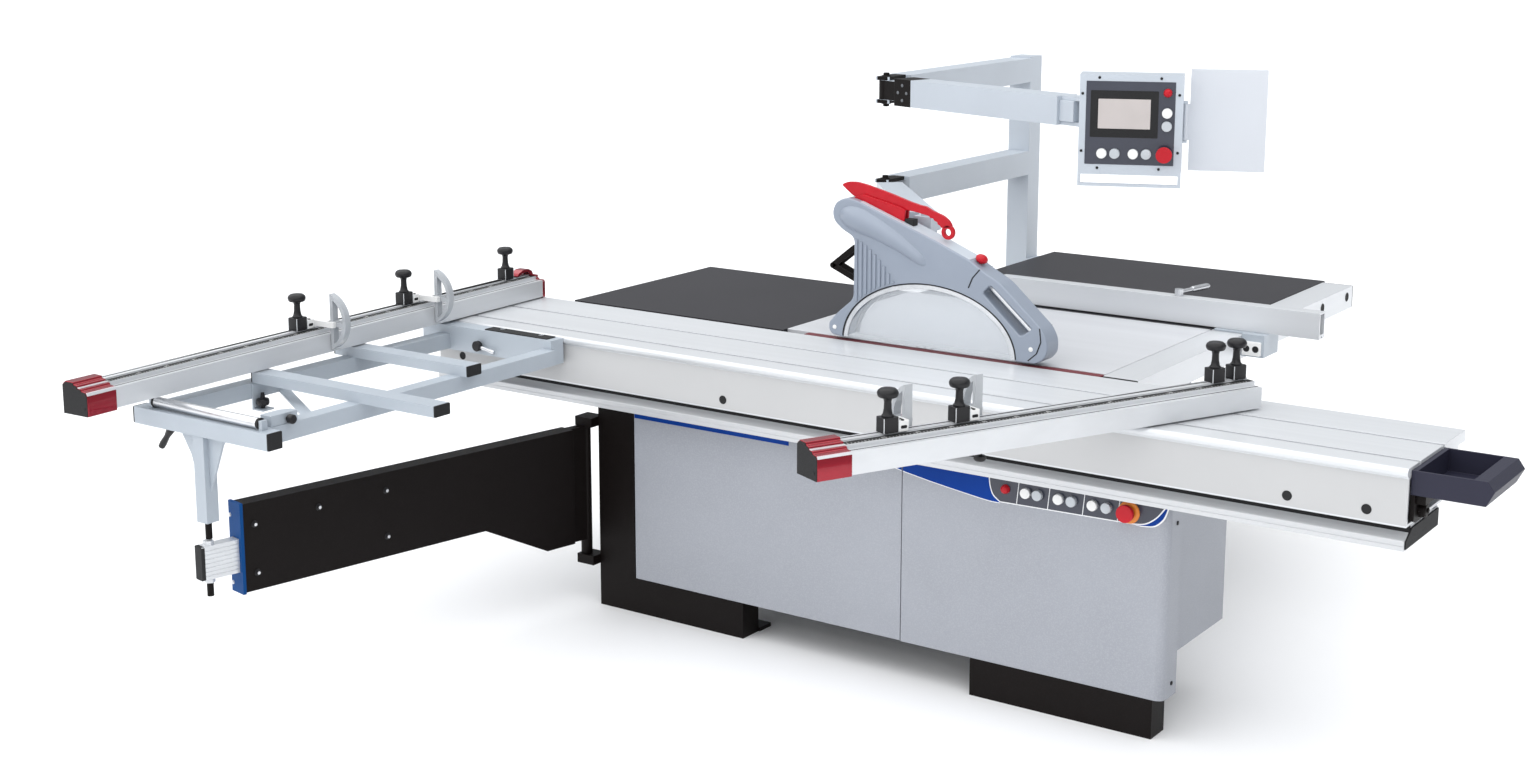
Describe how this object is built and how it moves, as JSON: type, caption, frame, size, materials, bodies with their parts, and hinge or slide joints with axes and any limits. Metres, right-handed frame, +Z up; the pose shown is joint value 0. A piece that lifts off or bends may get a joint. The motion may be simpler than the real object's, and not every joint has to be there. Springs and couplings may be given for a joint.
{
  "type": "sliding table saw",
  "caption": "Sliding table saw with a long carriage, outrigger on a swing arm, cross-cut and mitre fences, rip fence, overhead guard and swivelling control panel.",
  "frame": {"origin": "on the floor, at the centre of the four anchor holes in the machine's feet", "axes": "+X along the carriage to the operator's end with the push handle, +Y across the machine to the rip fence and column, +Z up"},
  "size_m": [3.4158, 3.8379, 1.725],
  "materials": {
    "black_frame": "satin powder coat",
    "grey_panel": "fine textured powder coat",
    "blue_plate": "gloss paint",
    "light_paint": "smooth grey paint",
    "anodised": "fine extruded and anodised",
    "cast_table": "ground and waxed",
    "black_table": "fine textured black",
    "steel": "ground",
    "machine_iron": "as cast and painted",
    "rubber": "matt",
    "dark_plastic": "grained",
    "grey_plastic": "fine grain",
    "red_plastic": "moulded",
    "red_strip": "sawn edge",
    "clear": "clear plastic sheet",
    "white_plastic": "moulded",
    "motor_paint": "hammered paint"
  },
  "bodies": {
    "base": {"base_frame": "black_frame", "cabinet_shell": "grey_panel", "right_cover": "grey_panel", "base_rail": "anodised", "iron_table": "cast_table", "rear_table": "black_table", "right_table": "black_table", "fence_rail": "anodised", "kerf_strip": "red_strip", "column": "light_paint"},
    "door": {"left_door": "grey_panel"},
    "arm": {"swing_arm": "black_frame", "arm_end_plate": "blue_plate"},
    "arm_bar": {"arm_extension": "anodised"},
    "carriage": {"carriage": "anodised", "carriage_handle": "dark_plastic"},
    "outrigger": {"outrigger_frame": "light_paint"},
    "roller": {"outrigger_roller": "steel"},
    "crosscut": {"crosscut_fence": "anodised"},
    "crosscut_end": {"crosscut_extension": "anodised"},
    "crosscut_stop_a": {"crosscut_stop_a": "anodised"},
    "crosscut_stop_b": {"crosscut_stop_b": "anodised"},
    "crosscut_blade_a": {"crosscut_blade_a": "anodised"},
    "crosscut_blade_b": {"crosscut_blade_b": "anodised"},
    "mitre": {"mitre_fence": "anodised"},
    "mitre_stop_a": {"mitre_stop_a": "anodised"},
    "mitre_stop_b": {"mitre_stop_b": "anodised"},
    "mitre_blade_a": {"mitre_blade_a": "anodised"},
    "mitre_blade_b": {"mitre_blade_b": "anodised"},
    "rip_head": {"rip_head": "anodised"},
    "rip_fence": {"rip_fence": "anodised"},
    "rip_lever": {"rip_lever": "steel"},
    "tilt_frame": {"saw_trunnion": "machine_iron"},
    "lifter": {"arbor_carrier": "machine_iron", "motor": "motor_paint", "drive_belt": "rubber"},
    "blade": {"main_blade": "steel"},
    "motor_shaft": {"motor_pulley": "machine_iron"},
    "scoring": {"scoring_blade": "steel"},
    "guard_arm": {"guard_arm": "light_paint"},
    "guard": {"guard_body": "grey_plastic", "guard_window": "clear"},
    "push_stick": {"push_stick": "red_plastic"},
    "panel_arm": {"panel_arm": "light_paint"},
    "panel": {"panel_box": "light_paint"},
    "flap": {"panel_flap": "light_paint"},
    "cabinet_button_1": {"cabinet_button_1": "white_plastic"},
    "cabinet_button_2": {"cabinet_button_2": "white_plastic"},
    "cabinet_button_3": {"cabinet_button_3": "white_plastic"},
    "cabinet_button_4": {"cabinet_button_4": "white_plastic"},
    "cabinet_button_5": {"cabinet_button_5": "white_plastic"},
    "cabinet_button_6": {"cabinet_button_6": "white_plastic"},
    "cabinet_stop": {"cabinet_stop": "red_plastic"},
    "panel_button_1": {"panel_button_1": "white_plastic"},
    "panel_button_2": {"panel_button_2": "white_plastic"},
    "panel_button_3": {"panel_button_3": "white_plastic"},
    "panel_button_4": {"panel_button_4": "white_plastic"},
    "panel_button_5": {"panel_button_5": "white_plastic"},
    "panel_button_6": {"panel_button_6": "white_plastic"},
    "panel_stop": {"panel_stop": "red_plastic"}
  },
  "joints": [
    {"name": "carriage_slide", "type": "slide", "parent": "base", "child": "carriage", "axis": [1, 0, 0], "range_m": [-1.2, 1.4]},
    {"name": "arm_swing", "type": "hinge", "parent": "base", "child": "arm", "pos_m": [-0.9995, -0.59, 0.38], "axis": [0, 0, 1], "range_deg": [-51, 60]},
    {"name": "arm_extend", "type": "slide", "parent": "arm", "child": "arm_bar", "axis": [-0.1959, -0.9806, 0], "range_m": [-0.05, 0.6]},
    {"name": "door_hinge", "type": "hinge", "parent": "base", "child": "door", "pos_m": [-0.8025, -0.569, 0.38], "axis": [0, 0, 1], "range_deg": [-90, 0]},
    {"name": "outrigger_slide", "type": "slide", "parent": "carriage", "child": "outrigger", "axis": [1, 0, 0], "range_m": [-0.04, 1.2]},
    {"name": "roller_spin", "type": "hinge", "parent": "outrigger", "child": "roller", "pos_m": [-1.24, -1.8883, 0.865], "axis": [1, 0, 0], "continuous": true},
    {"name": "crosscut_swing", "type": "hinge", "parent": "outrigger", "child": "crosscut", "pos_m": [-1.522, -0.6763, 0.885], "axis": [0, 0, 1], "range_deg": [-45, 45]},
    {"name": "crosscut_extend", "type": "slide", "parent": "crosscut", "child": "crosscut_end", "axis": [0.0471, -0.9989, 0], "range_m": [0, 0.6]},
    {"name": "crosscut_stop_a_slide", "type": "slide", "parent": "crosscut", "child": "crosscut_stop_a", "axis": [-0.0471, 0.9989, 0], "range_m": [-0.4, 0.2]},
    {"name": "crosscut_stop_b_slide", "type": "slide", "parent": "crosscut", "child": "crosscut_stop_b", "axis": [-0.0471, 0.9989, 0], "range_m": [-0.2, 0.25]},
    {"name": "crosscut_blade_a_flip", "type": "hinge", "parent": "crosscut_stop_a", "child": "crosscut_blade_a", "pos_m": [-1.4388, -1.21998, 0.971], "axis": [-0.0471, 0.9989, 0], "range_deg": [-90, 0]},
    {"name": "crosscut_blade_b_flip", "type": "hinge", "parent": "crosscut_stop_b", "child": "crosscut_blade_b", "pos_m": [-1.46103, -0.74851, 0.971], "axis": [-0.0471, 0.9989, 0], "range_deg": [-90, 0]},
    {"name": "mitre_swing", "type": "hinge", "parent": "carriage", "child": "mitre", "pos_m": [1.026, -0.367, 0.885], "axis": [0, 0, 1], "range_deg": [-20, 65]},
    {"name": "mitre_stop_a_slide", "type": "slide", "parent": "mitre", "child": "mitre_stop_a", "axis": [0.421, 0.907, 0], "range_m": [-0.12, 0.05]},
    {"name": "mitre_stop_b_slide", "type": "slide", "parent": "mitre", "child": "mitre_stop_b", "axis": [0.421, 0.907, 0], "range_m": [-0.03, 0.6]},
    {"name": "mitre_blade_a_flip", "type": "hinge", "parent": "mitre_stop_a", "child": "mitre_blade_a", "pos_m": [0.56249, -1.22897, 0.971], "axis": [0.421, 0.907, 0], "range_deg": [0, 90]},
    {"name": "mitre_blade_b_flip", "type": "hinge", "parent": "mitre_stop_b", "child": "mitre_blade_b", "pos_m": [0.65217, -1.03577, 0.971], "axis": [0.421, 0.907, 0], "range_deg": [0, 90]},
    {"name": "rip_slide", "type": "slide", "parent": "base", "child": "rip_head", "axis": [0, 1, 0], "range_m": [-0.72, 0.49]},
    {"name": "rip_fence_slide", "type": "slide", "parent": "rip_head", "child": "rip_fence", "axis": [1, 0, 0], "range_m": [-0.25, 0.15]},
    {"name": "rip_lever_turn", "type": "hinge", "parent": "rip_fence", "child": "rip_lever", "pos_m": [0.452, 0.659, 0.975], "axis": [0, 0, 1], "range_deg": [-90, 0]},
    {"name": "saw_tilt", "type": "hinge", "parent": "base", "child": "tilt_frame", "pos_m": [-0.02, -0.147, 0.88], "axis": [1, 0, 0], "range_deg": [-45, 0]},
    {"name": "blade_lift", "type": "slide", "parent": "tilt_frame", "child": "lifter", "axis": [0, 0, 1], "range_m": [-0.02, 0.09]},
    {"name": "blade_spin", "type": "hinge", "parent": "lifter", "child": "blade", "pos_m": [-0.02, -0.147, 0.686], "axis": [0, 1, 0], "continuous": true},
    {"name": "motor_spin", "type": "hinge", "parent": "lifter", "child": "motor_shaft", "pos_m": [-0.02, -0.037, 0.396], "axis": [0, 1, 0], "continuous": true},
    {"name": "scoring_spin", "type": "hinge", "parent": "tilt_frame", "child": "scoring", "pos_m": [0.237, -0.147, 0.817], "axis": [0, 1, 0], "continuous": true},
    {"name": "guard_arm_swing", "type": "hinge", "parent": "base", "child": "guard_arm", "pos_m": [-0.604, 0.56498, 1.231], "axis": [0, 0, 1], "range_deg": [-60, 0]},
    {"name": "guard_lift", "type": "slide", "parent": "guard_arm", "child": "guard", "axis": [0, 0, 1], "range_m": [0, 0.1]},
    {"name": "push_stick_lift", "type": "slide", "parent": "guard", "child": "push_stick", "axis": [0, 0, 1], "range_m": [0, 0.12]},
    {"name": "panel_arm_swing", "type": "hinge", "parent": "base", "child": "panel_arm", "pos_m": [-0.604, 0.56498, 1.583], "axis": [0, 0, 1], "range_deg": [-20, 45]},
    {"name": "panel_swivel", "type": "hinge", "parent": "panel_arm", "child": "panel", "pos_m": [0.29014, 0.29161, 1.583], "axis": [0, 0, 1], "range_deg": [-40, 40]},
    {"name": "flap_hinge", "type": "hinge", "parent": "panel", "child": "flap", "pos_m": [0.5809, 0.35947, 1.568], "axis": [0, 0, 1], "range_deg": [-90, 45]},
    {"name": "cabinet_button_1_press", "type": "slide", "parent": "base", "child": "cabinet_button_1", "axis": [0, 1, 0], "range_m": [0, 0.003], "stiffness_N_per_m": 600},
    {"name": "cabinet_button_2_press", "type": "slide", "parent": "base", "child": "cabinet_button_2", "axis": [0, 1, 0], "range_m": [0, 0.003], "stiffness_N_per_m": 600},
    {"name": "cabinet_button_3_press", "type": "slide", "parent": "base", "child": "cabinet_button_3", "axis": [0, 1, 0], "range_m": [0, 0.003], "stiffness_N_per_m": 600},
    {"name": "cabinet_button_4_press", "type": "slide", "parent": "base", "child": "cabinet_button_4", "axis": [0, 1, 0], "range_m": [0, 0.003], "stiffness_N_per_m": 600},
    {"name": "cabinet_button_5_press", "type": "slide", "parent": "base", "child": "cabinet_button_5", "axis": [0, 1, 0], "range_m": [0, 0.003], "stiffness_N_per_m": 600},
    {"name": "cabinet_button_6_press", "type": "slide", "parent": "base", "child": "cabinet_button_6", "axis": [0, 1, 0], "range_m": [0, 0.003], "stiffness_N_per_m": 600},
    {"name": "cabinet_stop_press", "type": "slide", "parent": "base", "child": "cabinet_stop", "axis": [0, 1, 0], "range_m": [0, 0.003], "stiffness_N_per_m": 600},
    {"name": "panel_button_1_press", "type": "slide", "parent": "panel", "child": "panel_button_1", "axis": [-0.3746, 0.9272, 0], "range_m": [0, 0.003], "stiffness_N_per_m": 600},
    {"name": "panel_button_2_press", "type": "slide", "parent": "panel", "child": "panel_button_2", "axis": [-0.3746, 0.9272, 0], "range_m": [0, 0.003], "stiffness_N_per_m": 600},
    {"name": "panel_button_3_press", "type": "slide", "parent": "panel", "child": "panel_button_3", "axis": [-0.3746, 0.9272, 0], "range_m": [0, 0.003], "stiffness_N_per_m": 600},
    {"name": "panel_button_4_press", "type": "slide", "parent": "panel", "child": "panel_button_4", "axis": [-0.3746, 0.9272, 0], "range_m": [0, 0.003], "stiffness_N_per_m": 600},
    {"name": "panel_button_5_press", "type": "slide", "parent": "panel", "child": "panel_button_5", "axis": [-0.3746, 0.9272, 0], "range_m": [0, 0.003], "stiffness_N_per_m": 600},
    {"name": "panel_button_6_press", "type": "slide", "parent": "panel", "child": "panel_button_6", "axis": [-0.3746, 0.9272, 0], "range_m": [0, 0.003], "stiffness_N_per_m": 600},
    {"name": "panel_stop_press", "type": "slide", "parent": "panel", "child": "panel_stop", "axis": [-0.3746, 0.9272, 0], "range_m": [0, 0.003], "stiffness_N_per_m": 600}
  ],
  "couplings": [
    {"joint": "arm_swing", "follows": "carriage_slide", "rad_per_m": 0.7387},
    {"joint": "motor_spin", "follows": "blade_spin", "ratio": 0.77778}
  ]
}
